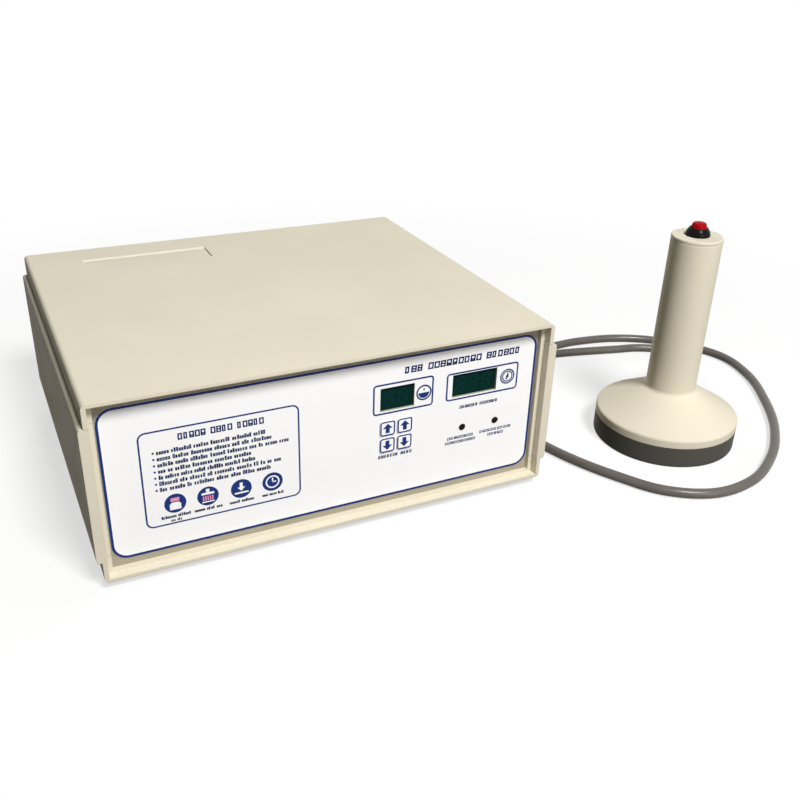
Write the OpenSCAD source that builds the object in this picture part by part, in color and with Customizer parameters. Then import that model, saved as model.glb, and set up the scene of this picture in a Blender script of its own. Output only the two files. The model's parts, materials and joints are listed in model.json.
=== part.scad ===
// Handheld induction cap sealer: a power unit in a plastic bench case, and a sealing head on a cable.
// Millimetres. The set stands on z = 0 and faces -Y. Its origin is the middle of its footprint.
// The modules work from the middle of the case, and in_frame() moves each piece to that origin.

/* [Case] */
// Width across the top and bottom covers
case_w = 320; // [300:1:380]
// Depth from the front edge to the rear edge
case_d = 278; // [262:1:330]
// Height of the closed case without its feet
case_h = 125; // [118:1:150]
// Thickness of the top and bottom walls
wall = 2.5; // [2:0.1:3.5]
// Thickness of the covers' side flanges
flange_t = 3; // [2.4:0.1:4]
// Depth of each cover, from its outer face to the edge of its flanges
flange_h = 15.5; // [13:0.5:20]
// Radius of the covers' long edges
edge_r = 3; // [1.5:0.5:5]
// How far the side panels stand out past the covers
side_proud = 3.3; // [2:0.1:5]
// Radius of the side panels' outer edges
side_edge_r = 2; // [0.5:0.5:2.5]
// Overlap of the side panels behind the covers' flanges
side_lap = 6; // [3:0.5:8]
// Thickness of the tongues that make this overlap
tongue_t = 2.5; // [1.5:0.1:4]
// Height of the rubber feet
foot_h = 6; // [4:0.5:12]
// Diameter of the rubber feet
foot_d = 18; // [12:1:24]
// Distance of each foot's middle from the case's edges
foot_inset = 28; // [20:1:40]
// Diameter of the spigot that holds a foot in the bottom cover
foot_spigot_d = 5; // [3:0.5:8]
// Width of the shallow label pocket in the top cover
label_w = 98; // [40:1:120]
// Length of the label pocket from front to rear
label_l = 25; // [12:1:40]
// Depth of the label pocket
label_depth = 1.3; // [0.3:0.1:1.5]
// Distance of the label pocket from the top cover's left edge
label_left = 41; // [15:1:60]
// Distance of the label pocket from the top cover's rear edge
label_rear = 27; // [15:1:50]
// Number of air slots in the bottom cover
vent_count = 12; // [4:1:16]
// Width of an air slot
vent_w = 3; // [2:0.5:4]
// Length of an air slot
vent_l = 40; // [20:1:60]
// Spacing of the air slots
vent_pitch = 8; // [6:0.5:10]

/* [Case screws] */
// Diameter of the four screws that clamp the covers
screw_d = 4; // [3:0.5:5]
// Diameter of their heads
screw_head_d = 7; // [6:0.5:8]
// Height of their heads
screw_head_h = 3; // [2:0.5:4]
// Length of their shanks
screw_l = 26; // [18:1:34]
// Diameter of the posts that they join
post_d = 11; // [10:0.5:14]
// Thickness of the seat under each head
screw_seat = 8; // [5:0.5:12]

/* [Panels] */
// Depth of the front and rear panels behind the edges of the case
panel_recess = 9.4; // [8:0.2:12]
// Thickness of the front and rear panels
panel_t = 3; // [2.8:0.1:4]
// Height of the beads that hold the panels at the sides
bead_h = 3.4; // [2.6:0.1:5]
// Height of the beads that hold the panels above and below
sill_h = 2; // [1.2:0.1:3]
// Thickness of the beads
bead_t = 3; // [2:0.1:4]
// Play of the panels in their grooves
play = 0.2; // [0.1:0.05:0.4]

/* [Front controls] */
// Margin of the overlay at the sides of the front panel
overlay_side = 4.5; // [4:0.5:12]
// Margin of the overlay above and below
overlay_edge = 6.5; // [5:0.5:12]
// Radius of the overlay's corners
overlay_r = 10.5; // [4:0.5:16]
// Thickness of the overlay
overlay_t = 0.4; // [0.2:0.1:0.8]
// Height of both display windows
window_h = 17.5; // [14:0.5:22]
// Height of the windows' middle above the panel's middle
window_z = 23.4; // [20:0.2:26]
// Width of the time window
time_w = 25.5; // [20:0.5:28]
// Place of the time window to the right of the middle
time_x = 43.2; // [42:0.2:48]
// Width of the voltage window
volt_w = 35.5; // [24:0.5:38]
// Place of the voltage window to the right of the middle
volt_x = 103.2; // [94:0.2:104]
// Thickness of the tinted windows
window_t = 1.2; // [0.8:0.1:1.3]
// Depth of the windows behind the panel's face
window_set = 1.6; // [0.6:0.1:1.6]
// Width of a key
key_size = 11.4; // [9:0.2:11.6]
// Spacing of the keys
key_pitch = 13; // [13:0.2:15]
// Place of the four keys to the right of the middle
key_x = 42.6; // [40:0.2:46]
// Place of the four keys above the panel's middle
key_z = -5; // [-10:0.5:-3]
// How far the keys stand out of the overlay
key_proud = 0.8; // [0.7:0.1:2]
// Travel of a key
key_travel = 0.5; // [0.2:0.1:0.7]
// Diameter of the two alarm lamps
led_d = 4.8; // [3:0.2:6]
// Spacing of the alarm lamps
led_pitch = 27; // [20:0.5:30]
// Place of the alarm lamps' middle to the right of the panel's middle
led_x = 108.8; // [106:0.2:110]
// Place of the alarm lamps above the panel's middle
led_z = -10.5; // [-12:0.5:0]

/* [Rear fittings] */
// Size of the square fan
fan_size = 80; // [70:1:86]
// Depth of the fan
fan_t = 25; // [20:1:32]
// Place of the fan to the right of the middle
fan_x = -10; // [-20:1:10]
// Number of fan blades
fan_blades = 7; // [5:1:9]
// Diameter of the fan's shaft
shaft_d = 3; // [2:0.5:4]
// Place of the mains inlet to the right of the middle
inlet_x = -105; // [-112:1:-90]
// Height of the mains inlet's middle above the table
inlet_z = 46; // [44:1:50]
// Height of the power switch's middle above the table
rocker_z = 92; // [86:1:98]
// Turn of the rocker from off to on, in degrees
rocker_turn = 20; // [12:1:24]
// Place of the cable gland to the right of the middle
gland_x = 110; // [96:1:120]
// Height of the cable gland above the table
gland_z = 35; // [30:1:45]

/* [Power unit] */
// Thickness of the circuit boards
pcb_t = 1.6; // [1:0.2:2.4]
// Height of the bosses under the power board
boss_h = 8; // [5:0.5:12]
// Width of the power board
power_w = 208; // [200:1:215]
// Height of the heatsink
sink_h = 60; // [45:1:66]
// Length of the heatsink
sink_l = 72; // [66:1:74]
// Number of heatsink fins
sink_fins = 7; // [4:1:9]

/* [Sealing head] */
// Place of the head to the right of the case's middle
head_x = 301; // [290:1:340]
// Place of the head behind the case's middle
head_y = -114; // [-140:1:-60]
// Diameter of the head
head_d = 114; // [100:1:130]
// Height of the grey base cup
cup_h = 17.3; // [16:0.1:26]
// Thickness of the cup's wall
cup_t = 3; // [2:0.1:4]
// Thickness of the cup's floor, which meets the cap to be sealed
cup_floor = 2.5; // [1.5:0.1:4]
// Height of the upright rim of the bell
rim_h = 6.5; // [4:0.5:10]
// Radius of the bell's outer edge
rim_r = 2.5; // [1:0.5:3.5]
// Height at which the bell meets the handle
bell_top = 45; // [40:0.5:55]
// Radius of the fillet there
bell_fillet = 4; // [2:0.5:6]
// Diameter of the handle at its foot
handle_low_d = 39.8; // [36:0.2:46]
// Diameter of the handle at its top
handle_top_d = 38.8; // [36:0.2:44]
// Height of the handle's top above the table
handle_h = 172; // [150:1:200]
// Thickness of the bell and handle
shell_t = 3; // [2:0.1:4]
// Thickness of the handle cap's visible edge
cap_edge = 2.8; // [2:0.1:5]
// Diameter of the button bezel at its foot
bezel_d = 18.8; // [17.6:0.2:24]
// Diameter of the button bezel at its rim
bezel_rim_d = 14.4; // [14.2:0.2:16]
// Height of the button bezel
bezel_h = 6.2; // [6.2:0.1:10]
// Diameter of the trigger button
button_d = 12; // [10.6:0.2:12]
// How far the trigger button stands out of its bezel
button_proud = 4.2; // [3.4:0.1:6]
// Travel of the trigger button
button_travel = 3; // [1:0.1:3.2]
// Height of the cable boot above the table
boot_z = 62; // [58:1:80]
// Number of turns of the work coil
coil_turns = 9; // [5:1:10]
// Number of ferrite bars over the coil
ferrite_count = 6; // [4:1:8]

/* [Cable] */
// Diameter of the hand cable
cable_d = 7.8; // [6:0.2:8.4]

/* [Hidden] */
$fn = 48;

beige = [0.85, 0.82, 0.73];
panel_beige = [0.64, 0.61, 0.53];
white = [0.96, 0.96, 0.95];
black = [0.08, 0.08, 0.08];
dark_grey = [0.30, 0.29, 0.28];
cable_grey = [0.42, 0.41, 0.40];
board_green = [0.10, 0.36, 0.20];
steel = [0.70, 0.71, 0.73];
copper = [0.72, 0.45, 0.20];
aluminium = [0.78, 0.79, 0.80];
window_green = [0.05, 0.20, 0.14];
red = [0.80, 0.05, 0.08];
terminal_green = [0.10, 0.30, 0.16];
sleeve_blue = [0.12, 0.14, 0.30];
film_yellow = [0.75, 0.62, 0.20];

// Clearances: fit between a shaft and its bore, gap round a piece that moves or drops in, seat at rest
fit = 0.05;
gap = 0.3;
seat = 0.1;
// Overlap of shapes that are joined into one piece
join = 0.5;
// Length and width of a cross recess as shares of the screw head, and its depth
recess = [0.56, 0.14, 1.3];

// Levels and faces of the case
z_bot = foot_h;
z_top = foot_h + case_h;
z_mid = foot_h + case_h / 2;
z_low = z_bot + flange_h;
z_high = z_top - flange_h;
floor_z = z_bot + wall;
half_w = case_w / 2;
half_d = case_d / 2;
in_w = half_w - flange_t;
face_y = half_d - panel_recess;
back_y = face_y - panel_t;
bead_out_y = face_y + play;
bead_in_y = back_y - play - bead_t;

// Screw posts in the corners, clear of the side panels' tongues and of the inner beads
post_clear = 3;
post_x = in_w - play - tongue_t - post_clear - post_d / 2;
post_y = bead_in_y - post_clear - post_d / 2;
head_play = 0.3;
foot_taper = 2;

// Front controls
windows = [[time_x, time_w], [volt_x, volt_w]];
display_lip = 1;
key_r = 1.6;
key_lip = 0.5;
key_flange = 1.2;
key_gap = 0.2;
led_proud = 0.4;
board_gap = 9;
board_y = -back_y + board_gap;
control_margin = 7;
control_right = max(volt_x + volt_w / 2 + display_lip, led_x + led_pitch / 2 + led_d / 2) + control_margin;
control_left = min(time_x - time_w / 2 - display_lip, key_x - key_pitch / 2 - key_size / 2) - control_margin;
control_top = window_z + window_h / 2 + display_lip + control_margin + 3;
control_low = key_z - key_pitch / 2 - key_size / 2 - control_margin + 2;
control_w = control_right - control_left;
control_h = control_top - control_low;
control_x = (control_right + control_left) / 2;
control_z = z_mid + (control_top + control_low) / 2;
small_screw_d = 3;
small_head_d = 5.4;
small_head_h = 2;
small_boss_d = 6.4;
small_inset = 4;
buzzer_d = 12;
buzzer_h = 8;
buzzer_hole = 2;
tact_size = 6;
tact_body = 3.5;
tact_plunger_d = 3.4;
key_back_y = -back_y + seat + key_flange;
tact_h = board_y - key_back_y - key_travel - gap;

// Fan
fan_hole = fan_size * 0.447;
fan_bore = fan_size - 4;
fan_hub_d = 32;
fan_screw_d = 4;
fan_screw_l = 14;
fan_head_h = 2.4;
fan_tip_gap = 0.7;
fan_strut = 3;
shaft_set = 2;
rotor_set = 2.5;
rotor_gap = 0.5;
blade_t = 1.4;
guard_t = 1.2;
guard_wire = 2.2;

// Mains inlet with a fuse drawer under the socket
inlet_flange = [32, 42];
inlet_flange_t = 2.5;
inlet_block = [27.4, 37.4];
inlet_depth = 24;
socket = [24, 16.5];
socket_depth = 17;
socket_z = inlet_z + 8;
socket_corner = 4;
pin_size = [2, 4];
pin_l = 12;
pin_pitch = 7;
drawer_slot = [24, 9.4];
drawer_z = inlet_z - 11.5;
drawer_depth = 21;
drawer_lip = [26, 11];
drawer_lip_t = 1.5;
fuse_d = 5.2;
fuse_l = 20;
fuse_set = 4;
inlet_face_y = face_y + inlet_flange_t;

// Power switch
rocker_x = inlet_x;
rocker_flange = [16, 24];
rocker_flange_t = 2;
rocker_block = [14, 21];
rocker_depth = 13;
rocker_w = 10;
rocker_half = 8.2;
rocker_rise = 3.8;
rocker_dip = 2.2;
rocker_side = 0.6;
rocker_keel = [5, 3];
rocker_floor = 4;
rocker_pin_d = 2.4;
rocker_pin_l = 1.2;
rocker_y = face_y + 0.6;

// Cable gland on the rear panel
gland_thread_d = 15;
gland_flange = 5;
gland_dome = 13;
gland_hex = 22;
gland_neck_d = 19;
gland_neck_l = 6;
gland_inside = 10;
gland_nut_t = 5;
gland_out = gland_flange + gland_dome;
gland_bore_l = 14;
cable_play = 0.2;

// Power board and what stands on it
power_front = half_d - 44;
power_rear = back_y - fan_t - 13;
power_x = -34;
power_l = power_front + power_rear;
power_y = (power_rear - power_front) / 2;
board_top = floor_z + boss_h + pcb_t;
power_inset = 8;
sink_w = 78;
sink_base = 5;
sink_fin_t = 2;
sink_x0 = fan_x - sink_w / 2;
sink_y0 = power_rear - 2 - sink_l;
transistor = [5, 15.6, 20];
transistor_pitch = 17.5;
transistor_leg = 12;
capacitor_d = 35;
capacitor_h = 50;
film = [18, 40, 34];
core = [50, 20, 40];
core_leg = 14;
core_yoke = 8;
core_x = -50;
core_y = -62;
core_lift = 6;
choke_d = 38;
choke_h = 14;
choke_wall = 11;
choke_right = 34;
capacitor_left = 62;
capacitor_front = 8;
capacitor_gap = 4;
capacitor_edge = 1;
film_gap = 3;
film_front = 6;
film_left = 4;
rectifier = [28, 28, 10];
rectifier_left = 42;
rectifier_front = 34;
rectifier_hole_d = 5;
core_foot = [6, 12];
terminal = [20, 16, 18];
terminal_right = 30;
terminal_front = 46;
terminal_way_d = 6;
terminal_way_l = 12;
terminal_pitch = 10;

// Sealing head
head_r = head_d / 2;
cup_r = head_r - cup_t;
spigot_t = 2;
spigot_l = 4;
cap_r = handle_top_d / 2;
seam_z = handle_h - cap_edge;
seam_chamfer = 0.4;
cup_chamfer = 0.7;
cap_plug = 6;
plug_t = 3;
cap_plate = 6;
barrel_d = 12;
barrel_l = 15;
stem_d = 4;
spring_pocket_d = 9.2;
spring_floor = 9;
button_skirt = 2.2;
button_taper = 0.5;
button_shoulder = 2.2;
bezel_bow = 0.5;
head_bottom = bezel_h - button_skirt;
retainer_d = 5.4;
retainer_t = 1;
block_d = 15;
block_h = 18;
nut_hex = 19;
nut_t = 4;
former_t = 3;
coil_wire = 4;
coil_in_r = 11;
ferrite = [7, 5];
boot_angle = 45;
boss_d = 18;
boss_face = 24;
boot_neck_d = 12;
boot_neck_l = 8;
boot_l = 28;
boot_collar = 2;
boot_low_d = 15;
boot_end_d = 11;
boot_grooves = 4;
boot_bore_l = 18;

// Route of the cable's centre line, from inside the gland to inside the boot
cable_sides = 10;
cable_steps = 2;
cable_route = [
    [110, 138, 35], [110, 160, 35], [118, 183, 31], [136, 198, 20], [159, 200, 9.6], [181, 188, 5],
    [210, 157, 4], [236, 117, 4], [262, 83, 4], [296, 66, 4], [340, 65, 4], [376, 59, 4],
    [408, 44, 4], [436, 17, 4], [454, -22, 4], [447, -62, 4], [424, -106, 4], [390, -152, 4],
    [350, -187, 4], [310, -207, 4], [272, -209, 4], [240, -192, 4], [217, -159, 4], [188, -80, 4],
    [184, -36, 4], [194, 14, 4], [222, 45, 4], [262, 53, 4], [308, 47, 4], [366, 34, 4],
    [390, 28, 4], [408, 16, 4], [415, -4, 4], [410, -24, 4.4], [398, -37, 8], [384, -46, 19],
    [371, -54, 36], [358, -62, 52], [343, -73, 61], [327, -88, 62]
];

// The origin is the middle of the footprint of the case and the head
x_left = -half_w - side_proud;
x_right = head_x + head_r;
y_front = min(-half_d, head_y - head_r);
y_rear = max(half_d, face_y + gland_out);
frame_shift = [-(x_left + x_right) / 2, -(y_front + y_rear) / 2, 0];

// Points of an arc of radius r about c, from angle a0 to a1
function arc(c, r, a0, a1, n = 6) =
    [for (i = [0 : n]) let (a = a0 + (a1 - a0) * i / n) c + r * [cos(a), sin(a)]];
// Points of a flat arc from a to b that bulges by s, to the right of the way from a to b
function bowed(a, b, s, n = 6) =
    let (along = unit(b - a), out = [along.y, -along.x], half = norm(b - a) / 2,
        r = (half * half + s * s) / (2 * s), c = (a + b) / 2 - (r - s) * out, most = asin(half / r))
    [for (i = [0 : n]) let (t = most * (2 * i / n - 1)) c + r * (cos(t) * out + sin(t) * along)];
function unit(v) = v / norm(v);

// Slope of a route at point i: its neighbours' slopes, weighted by distance
function slope(p, i) =
    i == 0 ? unit(p[1] - p[0])
    : i == len(p) - 1 ? unit(p[i] - p[i - 1])
    : let (d0 = norm(p[i] - p[i - 1]), d1 = norm(p[i + 1] - p[i]))
        unit((p[i] - p[i - 1]) * d1 / d0 + (p[i + 1] - p[i]) * d0 / d1);
// Point at share t of the way from point i to the next, on the cubic with those slopes
function on_curve(p, i, t) =
    let (d = norm(p[i + 1] - p[i]))
    (2 * t * t * t - 3 * t * t + 1) * p[i] + (t * t * t - 2 * t * t + t) * d * slope(p, i)
    + (3 * t * t - 2 * t * t * t) * p[i + 1] + (t * t * t - t * t) * d * slope(p, i + 1);
function smooth(p, n) =
    [for (i = [0 : len(p) - 2], k = [0 : n - 1]) on_curve(p, i, k / n), p[len(p) - 1]];
function direction(p, i) = unit(p[min(i + 1, len(p) - 1)] - p[max(i - 1, 0)]);

// A round bar of radius r with n sides along the points p
module sweep(p, r, n) {
    rings = [for (i = [0 : len(p) - 1])
        let (t = direction(p, i), s = unit(cross([0, 0, 1], t)), u = cross(t, s))
        for (k = [0 : n - 1]) p[i] + r * (cos(360 * k / n) * s + sin(360 * k / n) * u)];
    sides = [for (i = [0 : len(p) - 2], k = [0 : n - 1])
        let (a = i * n + k, b = i * n + (k + 1) % n)
        each [[a, a + n, b + n], [a, b + n, b]]];
    first = [for (k = [0 : n - 1]) k];
    last = [for (k = [n - 1 : -1 : 0]) (len(p) - 1) * n + k];
    polyhedron(points = rings, faces = concat(sides, [first, last]), convexity = 10);
}

module in_frame() { translate(frame_shift) children(); }
module both_ends() {
    children();
    mirror([0, 1, 0]) children();
}
// Extrudes an outline that is drawn in x and z, from y0 to y0 + t
module along_y(y0, t) { translate([0, y0 + t, 0]) rotate([90, 0, 0]) linear_extrude(t) children(); }
// Turns a piece that is drawn along +z so that it points to the rear
module to_rear() { rotate([-90, 0, 0]) children(); }
// Rectangle about the origin with rounded corners
module rounded(w, h, r) {
    square([w - 2 * r, h], center = true);
    square([w, h - 2 * r], center = true);
    for (sx = [-1, 1], sy = [-1, 1]) translate([sx * (w / 2 - r), sy * (h / 2 - r)]) circle(r);
}

// Cross recess about z = 0 for a screw head of diameter d
module cross_recess(d) {
    for (a = [0, 90]) rotate(a) cube([d * recess.x, d * recess.y, 2 * recess.z], center = true);
}

// Covers
module tray_outline() {
    difference() {
        union() {
            translate([-half_w + edge_r, 0]) square([case_w - 2 * edge_r, flange_h]);
            translate([-half_w, edge_r]) square([case_w, flange_h - edge_r]);
            for (s = [-1, 1]) translate([s * (half_w - edge_r), edge_r]) circle(edge_r);
        }
        translate([-in_w, wall]) square([2 * in_w, flange_h]);
    }
}
module bead_outline() {
    difference() {
        translate([-in_w - join, wall - join]) square([2 * (in_w + join), flange_h - wall + join]);
        translate([-in_w + bead_h, wall + sill_h]) square([2 * (in_w - bead_h), flange_h]);
    }
}
module at_posts() { for (x = [-post_x, post_x], y = [-post_y, post_y]) translate([x, y, 0]) children(); }
// A cover with its outer face down at z = 0
module tray() {
    along_y(-half_d, case_d) tray_outline();
    both_ends() for (y0 = [bead_out_y, bead_in_y]) along_y(y0, bead_t) bead_outline();
    at_posts() translate([0, 0, wall - join]) cylinder(d = post_d, h = case_h / 2 - wall + join);
}
module at_feet() {
    for (sx = [-1, 1], sy = [-1, 1])
        translate([sx * (half_w - foot_inset), sy * (half_d - foot_inset), 0]) children();
}
module at_power_corners() {
    for (sx = [-1, 1], sy = [-1, 1])
        translate([power_x + sx * (power_w / 2 - power_inset), power_y + sy * (power_l / 2 - power_inset), 0])
            children();
}
module vent_slots() {
    for (i = [0 : vent_count - 1])
        translate([(i - (vent_count - 1) / 2) * vent_pitch, -power_front + vent_l / 2 + power_inset, -1])
            linear_extrude(wall + 2) rounded(vent_w, vent_l, vent_w / 2 - 0.01);
}
// The pocket runs along x. Its rear wall slopes by its depth, and it is cut from just below the outer face.
module label_pocket() {
    rotate([90, 0, 90]) linear_extrude(label_w) polygon([
        [-label_l, -join], [join, -join], [-label_depth, label_depth], [-label_l, label_depth]
    ]);
}
module top_cover() {
    in_frame() color(beige) translate([0, 0, z_top]) mirror([0, 0, 1]) difference() {
        tray();
        at_posts() translate([0, 0, case_h / 2 - screw_l]) cylinder(d = screw_d + 2 * fit, h = screw_l + 1);
        translate([-half_w + label_left, half_d - label_rear, 0]) label_pocket();
    }
}
module bottom_cover() {
    in_frame() color(beige) translate([0, 0, z_bot]) difference() {
        union() {
            tray();
            at_power_corners() translate([0, 0, wall - join]) cylinder(d = small_boss_d, h = boss_h + join);
        }
        at_posts() {
            translate([0, 0, -1]) cylinder(d = screw_head_d + 2 * head_play, h = case_h / 2 - screw_seat + 1);
            cylinder(d = screw_d + 2 * fit, h = case_h);
        }
        at_feet() translate([0, 0, -1]) cylinder(d = foot_spigot_d + 2 * fit, h = wall + 2);
        at_power_corners() translate([0, 0, wall]) cylinder(d = small_screw_d + 2 * fit, h = boss_h + 1);
        vent_slots();
    }
}
module case_screws() {
    in_frame() color(steel) at_posts() translate([0, 0, z_mid - screw_seat]) {
        difference() {
            translate([0, 0, -screw_head_h]) cylinder(d = screw_head_d, h = screw_head_h);
            translate([0, 0, -screw_head_h]) cross_recess(screw_head_d);
        }
        cylinder(d = screw_d, h = screw_l);
    }
}
module rubber_feet() {
    in_frame() color(black) at_feet() {
        cylinder(d1 = foot_d - foot_taper, d2 = foot_d, h = foot_h);
        cylinder(d = foot_spigot_d, h = foot_h + wall + 1);
    }
}

// Side panels, drawn for the right-hand side
module side_panel() {
    side_in = in_w - play;
    side_out = half_w + side_proud;
    low = z_low + play;
    high = z_high - play;
    tongue_y = bead_in_y - gap;
    along_y(-half_d, case_d) {
        translate([side_in, low]) square([side_out - side_edge_r - side_in, high - low]);
        translate([side_in, low + side_edge_r]) square([side_out - side_in, high - low - 2 * side_edge_r]);
        for (z = [low + side_edge_r, high - side_edge_r])
            translate([side_out - side_edge_r, z]) circle(side_edge_r);
    }
    along_y(-tongue_y, 2 * tongue_y) {
        translate([side_in - tongue_t, low]) square([tongue_t + join, high - low]);
        translate([side_in - tongue_t, z_low - side_lap]) square([tongue_t, z_high - z_low + 2 * side_lap]);
    }
    both_ends() for (y0 = [bead_out_y, bead_in_y])
        along_y(y0, bead_t) translate([in_w - bead_h, low]) square([bead_h, high - low]);
}
module right_side_panel() { in_frame() color(beige) side_panel(); }
module left_side_panel() { in_frame() color(beige) mirror([1, 0, 0]) side_panel(); }

// Front panel and its controls
module panel_outline() {
    translate([0, z_mid]) square([2 * (in_w - 2 * play), case_h - 2 * (wall + play)], center = true);
}
module window_outlines(grow) {
    for (w = windows)
        translate([w.x, z_mid + window_z]) square([w.y + 2 * grow, window_h + 2 * grow], center = true);
}
module at_lamps() { for (s = [-1, 1]) translate([led_x + s * led_pitch / 2, z_mid + led_z]) children(); }
module at_key(right, up) {
    translate([key_x + (right - 0.5) * key_pitch, z_mid + key_z + (up - 0.5) * key_pitch]) children();
}
module front_cuts() {
    window_outlines(0);
    at_lamps() circle(d = led_d + 2 * gap);
    for (right = [0, 1], up = [0, 1])
        at_key(right, up) rounded(key_size + 2 * key_gap, key_size + 2 * key_gap, key_r);
}
module at_control_corners() {
    for (sx = [-1, 1], sz = [-1, 1])
        translate([control_x + sx * (control_w / 2 - small_inset), 0,
            control_z + sz * (control_h / 2 - small_inset)]) children();
}
module front_panel() {
    in_frame() color(panel_beige) difference() {
        union() {
            along_y(-face_y, panel_t) panel_outline();
            at_control_corners() translate([0, -back_y - join, 0]) to_rear()
                cylinder(d = small_boss_d, h = board_gap + join);
        }
        along_y(-face_y - 1, panel_t + 2) front_cuts();
        at_control_corners() translate([0, -back_y, 0]) to_rear()
            cylinder(d = small_screw_d + 2 * fit, h = board_gap + 1);
    }
}
module front_overlay() {
    in_frame() color(white) along_y(-face_y - overlay_t, overlay_t) difference() {
        translate([0, z_mid])
            rounded(2 * (in_w - overlay_side), case_h - 2 * (wall + overlay_edge), overlay_r);
        front_cuts();
    }
}
module window_pane(w) {
    in_frame() color(window_green) along_y(-face_y + window_set, window_t)
        translate([w.x, z_mid + window_z]) square([w.y - 2 * seat, window_h - 2 * seat], center = true);
}
module time_window() { window_pane(windows[0]); }
module voltage_window() { window_pane(windows[1]); }
module display(w) {
    in_frame() color(black) along_y(-back_y + gap, board_gap - gap) translate([w.x, z_mid + window_z])
        square([w.y + 2 * display_lip, window_h + 2 * display_lip], center = true);
}
module time_display() { display(windows[0]); }
module voltage_display() { display(windows[1]); }
module key(right, up) {
    in_frame() color(white) {
        along_y(-face_y - overlay_t - key_proud, overlay_t + key_proud + panel_t + seat + join)
            at_key(right, up) rounded(key_size, key_size, key_r);
        along_y(-back_y + seat, key_flange)
            at_key(right, up) rounded(key_size + 2 * key_lip, key_size + 2 * key_lip, key_r);
    }
}
module tens_up_key() { key(0, 1); }
module ones_up_key() { key(1, 1); }
module tens_down_key() { key(0, 0); }
module ones_down_key() { key(1, 0); }
module alarm_lamps() {
    lens_l = board_y + face_y + overlay_t + led_proud;
    in_frame() color(black) for (s = [-1, 1])
        translate([led_x + s * led_pitch / 2, board_y - lens_l, z_mid + led_z]) to_rear() {
            cylinder(d1 = led_d - 2 * led_proud, d2 = led_d, h = led_proud);
            translate([0, 0, led_proud]) cylinder(d = led_d, h = lens_l - led_proud);
        }
}
module control_board() {
    in_frame() color(board_green) difference() {
        along_y(board_y, pcb_t) translate([control_x, control_z]) rounded(control_w, control_h, 2);
        at_control_corners() translate([0, board_y - 1, 0]) to_rear()
            cylinder(d = small_screw_d + 2 * fit, h = pcb_t + 2);
    }
}
module key_switches() {
    in_frame() color(black) for (right = [0, 1], up = [0, 1]) {
        along_y(board_y - tact_body, tact_body) at_key(right, up) square(tact_size, center = true);
        along_y(board_y - tact_h, tact_h) at_key(right, up) circle(d = tact_plunger_d);
    }
}
module buzzer() {
    in_frame() color(black) translate([control_x, board_y + pcb_t, control_z]) to_rear() difference() {
        cylinder(d = buzzer_d, h = buzzer_h);
        translate([0, 0, buzzer_h - buzzer_hole]) cylinder(d = buzzer_hole, h = buzzer_hole + 1);
    }
}
module control_board_screws() {
    in_frame() color(steel) at_control_corners() translate([0, board_y + pcb_t, 0]) {
        to_rear() cylinder(d = small_head_d, h = small_head_h);
        translate([0, -pcb_t - board_gap + join, 0]) to_rear()
            cylinder(d = small_screw_d, h = pcb_t + board_gap);
    }
}

// Rear panel and its fittings
module at_fan_corners() {
    for (sx = [-1, 1], sz = [-1, 1]) translate([sx * fan_hole, sz * fan_hole]) children();
}
module rear_cuts() {
    translate([fan_x, z_mid]) {
        circle(d = fan_bore);
        at_fan_corners() circle(d = fan_screw_d + 2 * fit);
    }
    translate([inlet_x, inlet_z]) square([inlet_block.x + 2 * play, inlet_block.y + 2 * play], center = true);
    translate([rocker_x, rocker_z])
        square([rocker_block.x + 2 * play, rocker_block.y + 2 * play], center = true);
    translate([gland_x, gland_z]) circle(d = gland_thread_d + 2 * fit);
}
module rear_panel() {
    in_frame() color(panel_beige) along_y(back_y, panel_t) difference() {
        panel_outline();
        rear_cuts();
    }
}
// The fan turns about y. Its motor hub and struts are on the side of the rear panel.
module fan_frame() {
    in_frame() color(black) translate([fan_x, 0, z_mid]) {
        along_y(back_y - fan_t, fan_t) difference() {
            rounded(fan_size, fan_size, 3);
            circle(d = fan_bore);
            at_fan_corners() circle(d = fan_screw_d + 2 * fit);
        }
        along_y(back_y - fan_strut, fan_strut) {
            circle(d = fan_hub_d);
            for (a = [45 : 90 : 315])
                rotate(a) translate([0, -fan_strut / 2]) square([fan_bore / 2 + join, fan_strut]);
        }
        translate([0, back_y - fan_t + shaft_set, 0]) to_rear()
            cylinder(d = shaft_d, h = fan_t - shaft_set - fan_strut + join);
    }
}
module fan_rotor() {
    rotor_l = fan_t - fan_strut - rotor_set - rotor_gap;
    tip_r = fan_bore / 2 - fan_tip_gap;
    in_frame() color(black) translate([fan_x, back_y - fan_t + rotor_set, z_mid]) difference() {
        union() {
            to_rear() cylinder(d = fan_hub_d, h = rotor_l);
            intersection() {
                to_rear() difference() {
                    cylinder(r = tip_r, h = rotor_l);
                    translate([0, 0, -1]) cylinder(d = fan_hub_d - 4, h = rotor_l + 2);
                }
                for (i = [0 : fan_blades - 1])
                    rotate([0, i * 360 / fan_blades, 0]) fan_blade(rotor_l, tip_r);
            }
        }
        translate([0, -1, 0]) to_rear() cylinder(d = shaft_d + 2 * fit, h = rotor_l + 2);
    }
}
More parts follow.
